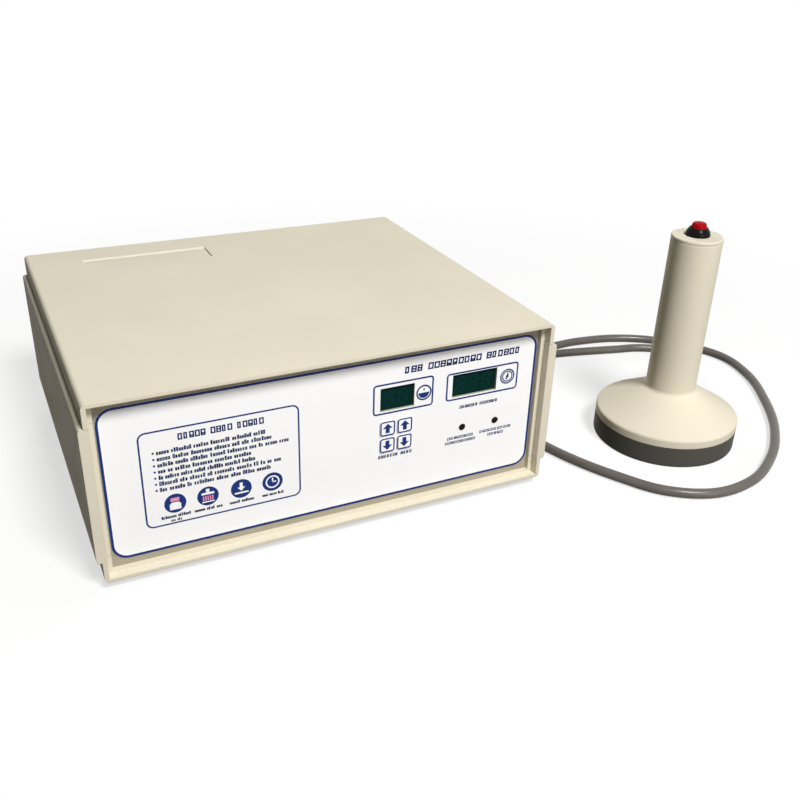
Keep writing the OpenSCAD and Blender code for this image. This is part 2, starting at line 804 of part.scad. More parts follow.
// A cambered blade along +x: part of a thin tube whose axis is the blade's radius
module fan_blade(l, tip_r) {
    camber_r = l * 1.1;
    translate([0, l / 2, 0]) rotate([90, 0, 90]) linear_extrude(tip_r + 1)
        translate([camber_r * 0.72, -camber_r * 0.62]) intersection() {
            difference() {
                circle(camber_r);
                circle(camber_r - blade_t);
            }
            translate([-camber_r * 1.4, 0]) square(camber_r * 1.4);
        }
}
module fan_guard() {
    in_frame() color(steel) translate([fan_x, 0, z_mid]) along_y(face_y, guard_t) difference() {
        union() {
            for (r = [fan_size * 0.13 : fan_size * 0.09 : fan_size * 0.49]) difference() {
                circle(r);
                circle(r - guard_wire);
            }
            for (a = [45, 135]) rotate(a) square([fan_hole * 2.83, 2 * guard_wire], center = true);
            for (a = [0, 90]) rotate(a) square([fan_size * 0.96, guard_wire], center = true);
            at_fan_corners() circle(fan_screw_d + 1);
        }
        at_fan_corners() circle(d = fan_screw_d + 2 * fit);
    }
}
module fan_screws() {
    in_frame() color(steel) translate([fan_x, face_y + guard_t, z_mid])
        for (sx = [-1, 1], sz = [-1, 1]) translate([sx * fan_hole, 0, sz * fan_hole]) {
            to_rear() difference() {
                cylinder(d1 = fan_screw_d * 1.9, d2 = fan_screw_d * 1.2, h = fan_head_h);
                translate([0, 0, fan_head_h]) cross_recess(fan_screw_d * 1.9);
            }
            translate([0, -fan_screw_l, 0]) to_rear() cylinder(d = fan_screw_d, h = fan_screw_l + join);
        }
}
module socket_outline() {
    w = socket.x / 2;
    h = socket.y / 2;
    polygon([
        [-w, -h], [w, -h], [w, h - socket_corner], [w - socket_corner, h],
        [socket_corner - w, h], [-w, h - socket_corner]
    ]);
}
module inlet_body() {
    in_frame() color(black) difference() {
        union() {
            along_y(face_y, inlet_flange_t)
                translate([inlet_x, inlet_z]) rounded(inlet_flange.x, inlet_flange.y, 2);
            along_y(face_y - inlet_depth, inlet_depth + join)
                translate([inlet_x, inlet_z]) square(inlet_block, center = true);
        }
        along_y(inlet_face_y - socket_depth, socket_depth + 1)
            translate([inlet_x, socket_z]) socket_outline();
        along_y(inlet_face_y - drawer_depth - seat, drawer_depth + seat + 1)
            translate([inlet_x, drawer_z]) square(drawer_slot, center = true);
    }
}
module inlet_pins() {
    in_frame() color(steel) along_y(inlet_face_y - socket_depth, pin_l) translate([inlet_x, socket_z]) {
        for (s = [-1, 1]) translate([s * pin_pitch, -pin_size.y / 2]) square(pin_size, center = true);
        translate([0, pin_size.y]) square(pin_size, center = true);
    }
}
module fuse_drawer() {
    trough = [fuse_l + 2 * seat + 1, fuse_d + 2 * seat];
    in_frame() color(black) translate([inlet_x, 0, drawer_z]) difference() {
        union() {
            along_y(inlet_face_y - drawer_depth, drawer_depth + seat + join)
                square([drawer_slot.x - 2 * gap, drawer_slot.y - 2 * gap], center = true);
            along_y(inlet_face_y + seat, drawer_lip_t) rounded(drawer_lip.x, drawer_lip.y, 1);
        }
        translate([-trough.x / 2, inlet_face_y - drawer_depth + fuse_set, -fuse_d / 2 - seat])
            cube([trough.x, trough.y, drawer_slot.y]);
    }
}
module fuse() {
    fuse_y = inlet_face_y - drawer_depth + fuse_set + seat + fuse_d / 2;
    in_frame() color(steel) translate([inlet_x - fuse_l / 2, fuse_y, drawer_z])
        rotate([0, 90, 0]) cylinder(d = fuse_d, h = fuse_l);
}
module rocker_frame() {
    in_frame() color(black) translate([rocker_x, 0, rocker_z]) difference() {
        union() {
            along_y(face_y, rocker_flange_t) rounded(rocker_flange.x, rocker_flange.y, 1.5);
            along_y(face_y - rocker_depth, rocker_depth + join) square(rocker_block, center = true);
        }
        along_y(face_y - rocker_depth + rocker_floor, rocker_depth + rocker_flange_t)
            square([rocker_w + 2 * gap, 2 * (rocker_half + 3 * gap)], center = true);
        translate([-rocker_w / 2 - gap - rocker_pin_l - seat, rocker_y, 0]) rotate([0, 90, 0])
            cylinder(d = rocker_pin_d + 2 * fit, h = rocker_w + 2 * (gap + rocker_pin_l + seat));
    }
}
// The rocker turns about x. It is drawn level, y out of the panel and z along its length, then tipped to off.
module power_rocker() {
    in_frame() color(black) translate([rocker_x, rocker_y, rocker_z]) rotate([-rocker_turn / 2, 0, 0]) {
        rotate([90, 0, 90]) translate([0, 0, -rocker_w / 2]) linear_extrude(rocker_w) polygon([
            [rocker_rise, -rocker_half], [rocker_dip, 0], [rocker_rise, rocker_half],
            [rocker_side, rocker_half], [-rocker_keel.x, rocker_keel.y],
            [-rocker_keel.x, -rocker_keel.y], [rocker_side, -rocker_half]
        ]);
        translate([-rocker_w / 2 - gap - rocker_pin_l, 0, 0]) rotate([0, 90, 0])
            cylinder(d = rocker_pin_d, h = rocker_w + 2 * (gap + rocker_pin_l));
    }
}
module cable_gland() {
    in_frame() color(dark_grey) translate([gland_x, face_y, gland_z]) difference() {
        union() {
            translate([0, -panel_t - gland_inside, 0]) to_rear()
                cylinder(d = gland_thread_d, h = panel_t + gland_inside + join);
            to_rear() cylinder(d = gland_hex, h = gland_flange, $fn = 6);
            translate([0, gland_flange - join, 0]) to_rear()
                cylinder(d = gland_neck_d, h = gland_neck_l + join);
            translate([0, gland_flange + gland_neck_l, 0]) to_rear()
                cylinder(d1 = gland_neck_d, d2 = cable_d + 4, h = gland_dome - gland_neck_l);
        }
        translate([0, gland_out - gland_bore_l, 0]) to_rear()
            cylinder(d = cable_d + 2 * cable_play, h = gland_bore_l + 1);
    }
}
module gland_nut() {
    in_frame() color(dark_grey) translate([gland_x, back_y - gland_nut_t, gland_z]) difference() {
        to_rear() cylinder(d = gland_hex, h = gland_nut_t, $fn = 6);
        translate([0, -1, 0]) to_rear() cylinder(d = gland_thread_d + 2 * fit, h = gland_nut_t + 2);
    }
}

// Power unit
module power_board() {
    in_frame() color(board_green) difference() {
        translate([power_x, power_y, board_top - pcb_t]) linear_extrude(pcb_t) rounded(power_w, power_l, 2);
        at_power_corners() translate([0, 0, floor_z])
            cylinder(d = small_screw_d + 2 * fit, h = boss_h + pcb_t + 1);
    }
}
module power_board_screws() {
    in_frame() color(steel) at_power_corners() translate([0, 0, board_top]) {
        cylinder(d = small_head_d, h = small_head_h);
        translate([0, 0, -pcb_t - boss_h + join]) cylinder(d = small_screw_d, h = pcb_t + boss_h);
    }
}
// The fins run towards the fan, and the upright base carries the transistors
module heatsink() {
    fin_pitch = (sink_h - sink_fin_t) / (sink_fins - 1);
    in_frame() color(aluminium) along_y(sink_y0, sink_l) translate([sink_x0, board_top]) {
        square([sink_base, sink_h]);
        for (i = [0 : sink_fins - 1]) translate([0, i * fin_pitch]) square([sink_w, sink_fin_t]);
    }
}
module power_transistors() {
    legs = 3;
    leg_t = 1.2;
    in_frame() color(black) for (i = [0 : 3])
        translate([sink_x0 - transistor.x, sink_y0 + 1 + i * transistor_pitch, board_top]) {
            translate([0, 0, transistor_leg]) cube(transistor);
            for (k = [1 : legs]) translate([transistor.x / 2, transistor.y * k / (legs + 1) - leg_t / 2, 0])
                cube([leg_t, leg_t, transistor_leg + join]);
        }
}
module bridge_rectifier() {
    in_frame() color(black)
        translate([sink_x0 - rectifier_left, sink_y0 + sink_l - rectifier_front, board_top]) difference() {
            cube(rectifier);
            translate([rectifier.x / 2, rectifier.y / 2, -1])
                cylinder(d = rectifier_hole_d, h = rectifier.z + 2);
        }
}
module filter_capacitors() {
    rear_y = sink_y0 - capacitor_front;
    in_frame() color(sleeve_blue) for (i = [0, 1])
        translate([sink_x0 - capacitor_left, rear_y - i * (capacitor_d + capacitor_gap), board_top]) {
            cylinder(d = capacitor_d, h = capacitor_h - capacitor_edge);
            translate([0, 0, capacitor_h - capacitor_edge])
                cylinder(d1 = capacitor_d, d2 = capacitor_d - 2 * capacitor_edge, h = capacitor_edge);
        }
}
module resonant_capacitors() {
    in_frame() color(film_yellow) for (i = [0 : 2])
        translate([fan_x + film_left + i * (film.x + film_gap), sink_y0 - film_front - film.y, board_top])
            cube(film);
}
module output_core() {
    in_frame() color(dark_grey) translate([core_x, core_y - core.y / 2, board_top]) {
        along_y(0, core.y) translate([0, core_lift + core.z / 2]) difference() {
            square([core.x, core.z], center = true);
            for (s = [-1, 1]) translate([s * core.x / 4, 0])
                square([core.x / 2 - core_leg, core.z - 2 * core_yoke], center = true);
        }
        for (s = [-1, 1])
            translate([s * (core.x - core_foot.x) / 2 - core_foot.x / 2, (core.y - core_foot.y) / 2, 0])
                cube([core_foot.x, core_foot.y, core_lift + join]);
    }
}
module output_winding() {
    build = core.x / 2 - core_leg - gap;
    winding_h = core.z - 2 * core_yoke - 2 * seat;
    in_frame() color(copper) translate([core_x, core_y, board_top + core_lift + core_yoke + seat])
        linear_extrude(winding_h) difference() {
            rounded(core_leg + 2 * build, core.y + 2 * build, 4);
            square([core_leg + 2 * seat, core.y + 2 * seat], center = true);
        }
}
module choke() {
    in_frame() color(copper) translate([power_x + power_w / 2 - choke_right, core_y, board_top])
        rotate_extrude() translate([(choke_d - choke_wall) / 2, choke_h / 2]) rounded(choke_wall, choke_h, 3);
}
module output_terminal() {
    corner = [power_x + power_w / 2 - terminal_right, power_rear - terminal_front, board_top];
    way_z = terminal.z - terminal_way_l;
    in_frame() color(terminal_green) translate(corner) difference() {
        cube(terminal);
        for (s = [-1, 1]) translate([(terminal.x + s * terminal_pitch) / 2, terminal.y / 2, way_z])
            cylinder(d = terminal_way_d, h = terminal_way_l + 1);
    }
}

// Sealing head, drawn about its own axis
module at_head() { in_frame() translate([head_x, head_y, 0]) children(); }
module base_cup() {
    edge = 2;
    at_head() color(dark_grey) rotate_extrude() polygon(concat(
        [[0, 0]], arc([head_r - edge, edge], edge, -90, 0),
        [[head_r, cup_h - cup_chamfer], [head_r - cup_chamfer, cup_h], [cup_r, cup_h], [cup_r, cup_floor],
            [0, cup_floor]]
    ));
}
// Half profile of the bell and handle: rim, cone, fillet and tapered tube, set in by t from the outside
function bell_angle() = atan2(bell_top - cup_h - rim_h, head_r - handle_low_d / 2);
function shell_profile(t) =
    let (b = bell_angle(), foot = handle_low_d / 2 - t, f = bell_fillet + t, e = max(rim_r - t, 0.2),
        rim_top = cup_h + rim_h - t * (1 - sin(b)) / cos(b),
        foot_z = rim_top + (head_r - t - foot) * tan(b),
        reach = f * tan((90 - b) / 2), edge = e * tan((90 - b) / 2))
    concat(
        arc([head_r - t - e, rim_top - edge], e, 0, 90 - b),
        arc([foot + f, foot_z + reach], f, 270 - b, 180),
        t == 0 ? [[cap_r, seam_z - seam_chamfer], [cap_r - seam_chamfer, seam_z]] : [[cap_r - t, seam_z]]
    );
function reversed(p) = [for (i = [len(p) - 1 : -1 : 0]) p[i]];
module handle_shell() {
    spigot_r = cup_r - fit;
    at_head() color(beige) difference() {
        union() {
            rotate_extrude() polygon(concat(
                [[spigot_r - spigot_t, cup_h - spigot_l], [spigot_r, cup_h - spigot_l], [spigot_r, cup_h],
                    [head_r, cup_h]],
                shell_profile(0), reversed(shell_profile(shell_t)),
                [[head_r - shell_t, cup_h + spigot_t], [spigot_r - spigot_t, cup_h + spigot_t]]
            ));
            difference() {
                on_boot_axis(0) cylinder(d = boss_d, h = boss_face);
                cylinder(d = handle_low_d - shell_t, h = handle_h);
            }
        }
        on_boot_axis(0) cylinder(d = boot_neck_d + 2 * fit, h = boss_face + 1);
    }
}
// Puts a piece that is drawn along +z on the boot's axis, s from the axis of the head
module on_boot_axis(s) {
    rotate([0, 0, boot_angle]) translate([s, 0, boot_z]) rotate([0, 90, 0]) children();
}
module handle_cap() {
    plug_r = cap_r - shell_t - fit;
    edge = 1;
    at_head() color(beige) rotate_extrude() polygon(concat(
        [[barrel_d / 2 + fit, handle_h - cap_plate], [plug_r - plug_t, handle_h - cap_plate],
            [plug_r - plug_t, seam_z - cap_plug], [plug_r, seam_z - cap_plug], [plug_r, seam_z],
            [cap_r - seam_chamfer, seam_z], [cap_r, seam_z + seam_chamfer]],
        arc([cap_r - edge, handle_h - edge], edge, 0, 90),
        [[barrel_d / 2 + fit, handle_h]]
    ));
}
module button_bezel() {
    edge = 0.5;
    well_r = button_d / 2 + gap;
    well_z = head_bottom - button_travel - gap;
    pocket_r = spring_pocket_d / 2;
    at_head() color(black) translate([0, 0, handle_h]) rotate_extrude() polygon(concat(
        [[stem_d / 2 + fit, -barrel_l], [barrel_d / 2, -barrel_l], [barrel_d / 2, 0],
            [bezel_d / 2 - edge, 0]],
        bowed([bezel_d / 2, edge], [bezel_rim_d / 2, bezel_h - edge], bezel_bow),
        arc([bezel_rim_d / 2 - edge, bezel_h - edge], edge, 15, 90),
        [[well_r, bezel_h - seat], [well_r, well_z], [pocket_r, well_z],
            [pocket_r, -spring_floor], [stem_d / 2 + fit, -spring_floor]]
    ));
}
module trigger_button() {
    crown = 0.3;
    top = bezel_h + button_proud;
    tail = -barrel_l - seat - retainer_t;
    shoulder = [button_d / 2 - button_taper - button_shoulder, top - crown - button_shoulder];
    at_head() color(red) translate([0, 0, handle_h]) rotate_extrude() polygon(concat(
        [[0, tail], [retainer_d / 2, tail], [retainer_d / 2, tail + retainer_t],
            [stem_d / 2, tail + retainer_t], [stem_d / 2, head_bottom], [button_d / 2, head_bottom],
            [button_d / 2, bezel_h + seat]],
        arc(shoulder, button_shoulder, 5, 85),
        [[0, top]]
    ));
}
module button_spring() {
    wire = 0.8;
    turns = 5;
    steps = 12;
    spring_r = (spring_pocket_d - wire) / 2 - gap;
    low = -spring_floor + wire / 2 + seat;
    high = head_bottom - wire / 2 - seat;
    helix = [for (i = [0 : turns * steps]) let (a = 360 * i / steps)
        [spring_r * cos(a), spring_r * sin(a), low + (high - low) * i / (turns * steps)]];
    at_head() color(steel) translate([0, 0, handle_h]) sweep(helix, wire / 2, 6);
}
module switch_block() {
    well = button_travel + seat + retainer_t + 1;
    at_head() color(black) translate([0, 0, handle_h - barrel_l - block_h]) difference() {
        cylinder(d = block_d, h = block_h);
        translate([0, 0, block_h - well]) cylinder(d = retainer_d + 2 * gap, h = well + 1);
    }
}
module button_nut() {
    at_head() color(steel) translate([0, 0, handle_h - cap_plate - nut_t]) difference() {
        cylinder(d = nut_hex, h = nut_t, $fn = 6);
        translate([0, 0, -1]) cylinder(d = barrel_d + 2 * fit, h = nut_t + 2);
    }
}
module coil_former() {
    at_head() color(white) translate([0, 0, cup_floor]) difference() {
        cylinder(r = cup_r - fit, h = former_t);
        translate([0, 0, -1]) cylinder(r = coil_in_r - 3, h = former_t + 2);
    }
}
module work_coil() {
    bump = coil_wire / 2 + 0.15;
    at_head() color(copper) translate([0, 0, cup_floor + former_t]) rotate_extrude() intersection() {
        for (i = [0 : coil_turns - 1])
            translate([coil_in_r + (i + 0.5) * coil_wire, coil_wire / 2]) circle(bump);
        translate([coil_in_r - 1, 0]) square([coil_turns * coil_wire + 2, coil_wire]);
    }
}
module ferrite_bars() {
    bar_l = coil_turns * coil_wire - 2;
    at_head() color(black) for (i = [0 : ferrite_count - 1]) rotate([0, 0, i * 360 / ferrite_count])
        translate([coil_in_r + 1, -ferrite.x / 2, cup_floor + former_t + coil_wire])
            cube([bar_l, ferrite.x, ferrite.y]);
}
module cable_boot() {
    groove = 0.8;
    groove_pitch = (boot_l - boot_collar) / (boot_grooves + 1);
    at_head() color(cable_grey) on_boot_axis(boss_face) difference() {
        union() {
            translate([0, 0, -boot_neck_l]) cylinder(d = boot_neck_d, h = boot_neck_l + join);
            cylinder(d = boss_d, h = boot_collar);
            cylinder(d1 = boot_low_d, d2 = boot_end_d, h = boot_l);
        }
        for (i = [1 : boot_grooves]) translate([0, 0, boot_collar + i * groove_pitch]) difference() {
            cylinder(d = boot_low_d, h = 2 * groove);
            translate([0, 0, -1]) cylinder(d = boot_end_d - 1, h = 2 * groove + 2);
        }
        translate([0, 0, boot_l - boot_bore_l]) cylinder(d = cable_d + 2 * cable_play, h = boot_bore_l + 1);
    }
}
module hand_cable() {
    in_frame() color(cable_grey) sweep(smooth(cable_route, cable_steps), cable_d / 2, cable_sides);
}

top_cover();
bottom_cover();
left_side_panel();
right_side_panel();
rubber_feet();
case_screws();
front_panel();
front_overlay();
time_window();
voltage_window();
time_display();
voltage_display();
tens_up_key();
ones_up_key();
tens_down_key();
ones_down_key();
alarm_lamps();
control_board();
key_switches();
buzzer();
control_board_screws();
rear_panel();
fan_frame();
fan_rotor();
fan_guard();
fan_screws();
inlet_body();
inlet_pins();
fuse_drawer();
fuse();
rocker_frame();
power_rocker();
cable_gland();
gland_nut();
power_board();
power_board_screws();
heatsink();
power_transistors();
bridge_rectifier();
filter_capacitors();
resonant_capacitors();
output_core();
output_winding();
choke();
output_terminal();
handle_shell();
base_cup();
handle_cap();
button_bezel();
trigger_button();
button_spring();
switch_block();
button_nut();
coil_former();
work_coil();
ferrite_bars();
cable_boot();
hand_cable();
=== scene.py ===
"""Looks of a handheld induction cap sealer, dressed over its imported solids.

Blender works in metres, in the frame of the solids. The print and the cable's route are written in
millimetres from the middle of the case, as the part's own source has them, and case_point() places them.
"""

import json
import math
import random

import bmesh
import bpy
from mathutils import Matrix, Vector


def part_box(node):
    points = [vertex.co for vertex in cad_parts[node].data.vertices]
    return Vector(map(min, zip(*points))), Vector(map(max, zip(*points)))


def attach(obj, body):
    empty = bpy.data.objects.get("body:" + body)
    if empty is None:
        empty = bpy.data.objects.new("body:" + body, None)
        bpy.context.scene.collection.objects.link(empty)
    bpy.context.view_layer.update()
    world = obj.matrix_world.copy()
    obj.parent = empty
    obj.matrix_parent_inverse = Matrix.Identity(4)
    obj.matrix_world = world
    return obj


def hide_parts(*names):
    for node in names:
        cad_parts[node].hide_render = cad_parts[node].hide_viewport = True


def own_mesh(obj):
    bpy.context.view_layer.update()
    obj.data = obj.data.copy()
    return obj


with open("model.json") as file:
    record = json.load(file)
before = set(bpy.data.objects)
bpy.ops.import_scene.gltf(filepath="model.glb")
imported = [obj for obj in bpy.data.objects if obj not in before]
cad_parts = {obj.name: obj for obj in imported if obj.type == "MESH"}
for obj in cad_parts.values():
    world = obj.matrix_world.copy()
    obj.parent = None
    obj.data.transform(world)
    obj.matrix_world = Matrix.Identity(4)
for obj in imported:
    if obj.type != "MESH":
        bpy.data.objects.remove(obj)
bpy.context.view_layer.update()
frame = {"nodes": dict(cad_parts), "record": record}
nodes = frame["nodes"]
MM = 0.001

# The middle of the case, on the table
cover_low, cover_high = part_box("top_cover")
CASE = Vector(((cover_low.x + cover_high.x) / 2, (cover_low.y + cover_high.y) / 2, 0))


def case_point(x, y, z):
    """A point in metres, from its millimetres from the middle of the case."""
    return CASE + Vector((x, y, z)) * MM


def link(thing):
    bpy.context.scene.collection.objects.link(thing)
    return thing


def mesh_piece(mesh, name, material):
    """A new object from a finished mesh, with its faces turned outwards."""
    bmesh.ops.recalc_face_normals(mesh, faces=mesh.faces)
    data = bpy.data.meshes.new(name)
    mesh.to_mesh(data)
    mesh.free()
    data.materials.append(material)
    return link(bpy.data.objects.new(name, data))


# Camera: the photograph's viewpoint, with angles in degrees and the lens and sensor in millimetres

CAMERA_AT = Vector((-0.30147, -0.6158, 0.37846))
CAMERA_AZIMUTH = -26.61
CAMERA_ELEVATION = 27.42
CAMERA_ROLL = 1.87
CAMERA_LENS = 41.72
SENSOR = 36


def direction(azimuth, elevation):
    """Unit direction from the set: azimuth 0 is to the front and positive to the right, in degrees."""
    a, e = math.radians(azimuth), math.radians(elevation)
    return Vector((math.sin(a) * math.cos(e), -math.cos(a) * math.cos(e), math.sin(e)))


def make_camera():
    roll = math.radians(CAMERA_ROLL)
    back = direction(CAMERA_AZIMUTH, CAMERA_ELEVATION)
    level = Vector((0, 0, 1)).cross(back).normalized()
    rise = back.cross(level)
    right = math.cos(roll) * level + math.sin(roll) * rise
    up = -math.sin(roll) * level + math.cos(roll) * rise
    data = bpy.data.cameras.new("camera")
    data.lens = CAMERA_LENS
    data.sensor_width = SENSOR
    camera = link(bpy.data.objects.new("camera", data))
    turn = Matrix((right, up, back)).transposed().to_4x4()
    camera.matrix_world = Matrix.Translation(CAMERA_AT) @ turn
    bpy.context.scene.camera = camera


# Hand cable: its diameter in metres, and its route in millimetres from the middle of the case

CABLE_DIAMETER = 0.0078
CABLE_ROUNDNESS = 6
CABLE_STEPS = 10
CABLE_ROUTE = [
    (110, 138, 35), (110, 160, 35), (118, 183, 31), (136, 198, 20), (159, 200, 9.6), (181, 188, 5),
    (210, 157, 4), (236, 117, 4), (262, 83, 4), (296, 66, 4), (340, 65, 4), (376, 59, 4),
    (408, 44, 4), (436, 17, 4), (454, -22, 4), (447, -62, 4), (424, -106, 4), (390, -152, 4),
    (350, -187, 4), (310, -207, 4), (272, -209, 4), (240, -192, 4), (217, -159, 4), (188, -80, 4),
    (184, -36, 4), (194, 14, 4), (222, 45, 4), (262, 53, 4), (308, 47, 4), (366, 34, 4),
    (390, 28, 4), (408, 16, 4), (415, -4, 4), (410, -24, 4.4), (398, -37, 8), (384, -46, 19),
    (371, -54, 36), (358, -62, 52), (343, -73, 61), (327, -88, 62),
]


def slope(route, i):
    """Unit slope of the route at point i: the slopes on both sides of it, the nearer one weighing more."""
    if i == 0:
        return (route[1] - route[0]).normalized()
    if i == len(route) - 1:
        return (route[i] - route[i - 1]).normalized()
    before, after = route[i] - route[i - 1], route[i + 1] - route[i]
    return (before * after.length / before.length + after * before.length / after.length).normalized()


def make_cable(material):
    route = [case_point(*p) for p in CABLE_ROUTE]
    curve = bpy.data.curves.new("hand_cable_lay", "CURVE")
    curve.dimensions = "3D"
    spline = curve.splines.new("BEZIER")
    spline.bezier_points.add(len(route) - 1)
    for i, point in enumerate(spline.bezier_points):
        along = slope(route, i)
        before = (route[i] - route[max(i - 1, 0)]).length
        after = (route[min(i + 1, len(route) - 1)] - route[i]).length
        point.handle_left_type = point.handle_right_type = "FREE"
        point.co = route[i]
        point.handle_left = route[i] - along * (before or after) / 3
        point.handle_right = route[i] + along * (after or before) / 3
    curve.bevel_depth = CABLE_DIAMETER / 2
    curve.bevel_resolution = CABLE_ROUNDNESS
    curve.resolution_u = CABLE_STEPS
    curve.use_fill_caps = True
    curve.materials.append(material)
    cable = link(bpy.data.objects.new("hand_cable_lay", curve))
    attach(cable, "root")
    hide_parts("hand_cable")


# Return spring of the trigger button, in metres

SPRING_WIRE = 0.0008
SPRING_TURNS = 5
SPRING_STEPS = 32
SPRING_SIDES = 10


def make_spring(material):
    """A coil in the space of its solid."""
    low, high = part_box("button_spring")
    height = high.z - low.z
    wire_radius = SPRING_WIRE / 2
    axis = Vector(((low.x + high.x) / 2, (low.y + high.y) / 2, low.z))
    radius = (high.x - low.x) / 2 - wire_radius
    up = Vector((0, 0, 1))
    around = [math.tau * k / SPRING_SIDES for k in range(SPRING_SIDES)]
    mesh = bmesh.new()
    rings = []
    for i in range(SPRING_TURNS * SPRING_STEPS + 1):
        turn = math.tau * i / SPRING_STEPS
        share = i / (SPRING_TURNS * SPRING_STEPS)
        out = Vector((math.cos(turn), math.sin(turn), 0))
        middle = axis + out * radius + up * (wire_radius + (height - SPRING_WIRE) * share)
        points = [middle + (out * math.cos(a) + up * math.sin(a)) * wire_radius for a in around]
        rings.append([mesh.verts.new(point) for point in points])
    for first, second in zip(rings, rings[1:]):
        for k in range(SPRING_SIDES):
            j = (k + 1) % SPRING_SIDES
            mesh.faces.new((first[k], first[j], second[j], second[k]))
    mesh.faces.new(rings[0])
    mesh.faces.new(rings[-1])
    coil = mesh_piece(mesh, "button_spring_coil", material)
    for face in coil.data.polygons:
        face.use_smooth = True
    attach(coil, "root")
    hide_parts("button_spring")
    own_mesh(coil)


# Shader nodes

def set_sockets(node, values):
    for name, value in values.items():
        node.inputs[name].default_value = value


def add_node(tree, kind, values=None, **links):
    """A new node with some sockets set to values and others linked to outputs."""
    node = tree.nodes.new(kind)
    set_sockets(node, values or {})
    for name, source in links.items():
        tree.links.new(source, node.inputs[name])
    return node


def calculate(tree, operation, first, second):
    node = tree.nodes.new("ShaderNodeMath")
    node.operation = operation
    tree.links.new(first, node.inputs[0])
    tree.links.new(second, node.inputs[1])
    return node.outputs["Value"]


def mix_shaders(tree, share, first, second):
    """The first shader where share is 0, and the second where it is 1."""
    mix = add_node(tree, "ShaderNodeMixShader", Fac=share)
    tree.links.new(first, mix.inputs[1])
    tree.links.new(second, mix.inputs[2])
    return mix.outputs["Shader"]


# Finishes

def srgb(red, green, blue):
    """Linear colour of an 8-bit screen colour."""
    shares = [c / 255 for c in (red, green, blue)]
    return [c / 12.92 if c <= 0.04045 else ((c + 0.055) / 1.055) ** 2.4 for c in shares] + [1.0]


BEIGE = srgb(221, 214, 194)
# Beige of the panels, darkened as painted shade for the recess round the overlay
SHADED_PANEL_BEIGE = srgb(168, 160, 141)
FILM_WHITE = srgb(250, 250, 251)
KEY_WHITE = srgb(251, 251, 252)
NAVY = srgb(18, 46, 112)
PINK = srgb(226, 150, 178)
WINDOW_DARK = srgb(5, 38, 35)
WINDOW_LIGHT = srgb(9, 47, 43)
SEGMENT = srgb(11, 51, 47)
BLACK = srgb(18, 17, 16)
SOFT_BLACK = srgb(34, 33, 32)
RUBBER_BLACK = srgb(30, 29, 28)
DARK_GREY = srgb(84, 82, 77)
CABLE_GREY = srgb(100, 95, 90)
RED = srgb(160, 10, 20)
STEEL = srgb(190, 190, 192)
ALUMINIUM = srgb(205, 207, 210)
COPPER = srgb(190, 110, 62)
MARK_WHITE = srgb(230, 230, 226)
FERRITE_GREY = srgb(52, 51, 50)
SLEEVE_BLUE = srgb(38, 44, 86)
CAPACITOR_YELLOW = srgb(206, 168, 62)
TERMINAL_GREEN = srgb(42, 112, 66)
FORMER_WHITE = srgb(226, 226, 220)
BOARD_GREEN = srgb(20, 84, 46)
TRACK_GREEN = srgb(52, 130, 78)

# Solids of black plastic that are polished
POLISHED_NODES = ("button_bezel", "alarm_lamps")


class Finish:
    """A material whose shader is driven by patterns in the piece's own coordinates, in metres."""

    def __init__(self, name, metallic=0.0, specular=0.5, coat=0.0, coat_rough=0.1):
        self.material = bpy.data.materials.new(name)
        self.material.use_nodes = True
        self.tree = self.material.node_tree
        self.shader = self.tree.nodes["Principled BSDF"]
        set_sockets(self.shader, {
            "Metallic": metallic, "Specular IOR Level": specular,
            "Coat Weight": coat, "Coat Roughness": coat_rough,
        })
        self.place = self.tree.nodes.new("ShaderNodeTexCoord").outputs["Object"]

    def add(self, kind, values=None, **links):
        return add_node(self.tree, kind, values, **links)

    def join(self, source, target):
        self.tree.links.new(source, self.shader.inputs[target])

    def noise(self, scale, detail=2.0, stretch=None):
        place = self.place
        if stretch:
            place = self.add("ShaderNodeMapping", {"Scale": stretch}, Vector=place).outputs["Vector"]
        return self.add("ShaderNodeTexNoise", {"Scale": scale, "Detail": detail}, Vector=place).outputs["Fac"]

    def bands(self, scale, axis):
        values = {"Scale": scale, "Distortion": 0.4, "Detail": 1.0}
        wave = self.add("ShaderNodeTexWave", values, Vector=self.place)
        wave.bands_direction = axis
        return wave.outputs["Fac"]

    def colours(self, field, dark, light, start=0.3, end=0.7):
        """Colour that goes from dark to light with the pattern."""
        ramp = self.add("ShaderNodeValToRGB", Fac=field)
        first, last = ramp.color_ramp.elements
        first.position, last.position = start, end
        first.color, last.color = dark, light
        self.join(ramp.outputs["Color"], "Base Color")

    def shades(self, field, colour, spread):
        """Colour that drifts by a share of itself with the pattern."""
        dark = [c * (1 - spread) for c in colour[:3]] + [1]
        light = [min(c * (1 + spread), 1) for c in colour[:3]] + [1]
        self.colours(field, dark, light)

    def gloss(self, field, low, high):
        """Roughness that goes from low to high with the pattern."""
        values = {"From Min": 0.3, "From Max": 0.7, "To Min": low, "To Max": high}
        self.join(self.add("ShaderNodeMapRange", values, Value=field).outputs["Result"], "Roughness")

    def relief(self, field, depth, edge=0.0):
        """Surface texture of that depth, with sharp corners eased over the radius edge."""
        bump = self.add("ShaderNodeBump", {"Strength": 1.0, "Distance": depth}, Height=field)
        if edge:
            corner = self.add("ShaderNodeBevel", {"Radius": edge})
            self.tree.links.new(corner.outputs["Normal"], bump.inputs["Normal"])
        self.join(bump.outputs["Normal"], "Normal")


def moulded(name, colour, rough, spread=0.02, specular=0.5, depth=0.000006, edge=0.0005):
    """Moulded plastic with a fine eroded texture and slightly uneven colour and gloss."""
    finish = Finish(name, specular=specular)
    finish.shades(finish.noise(scale=11, detail=3), colour, spread)
    finish.gloss(finish.noise(scale=70), low=rough - 0.05, high=rough + 0.05)
    finish.relief(finish.noise(scale=1500, detail=1), depth, edge)
    return finish.material


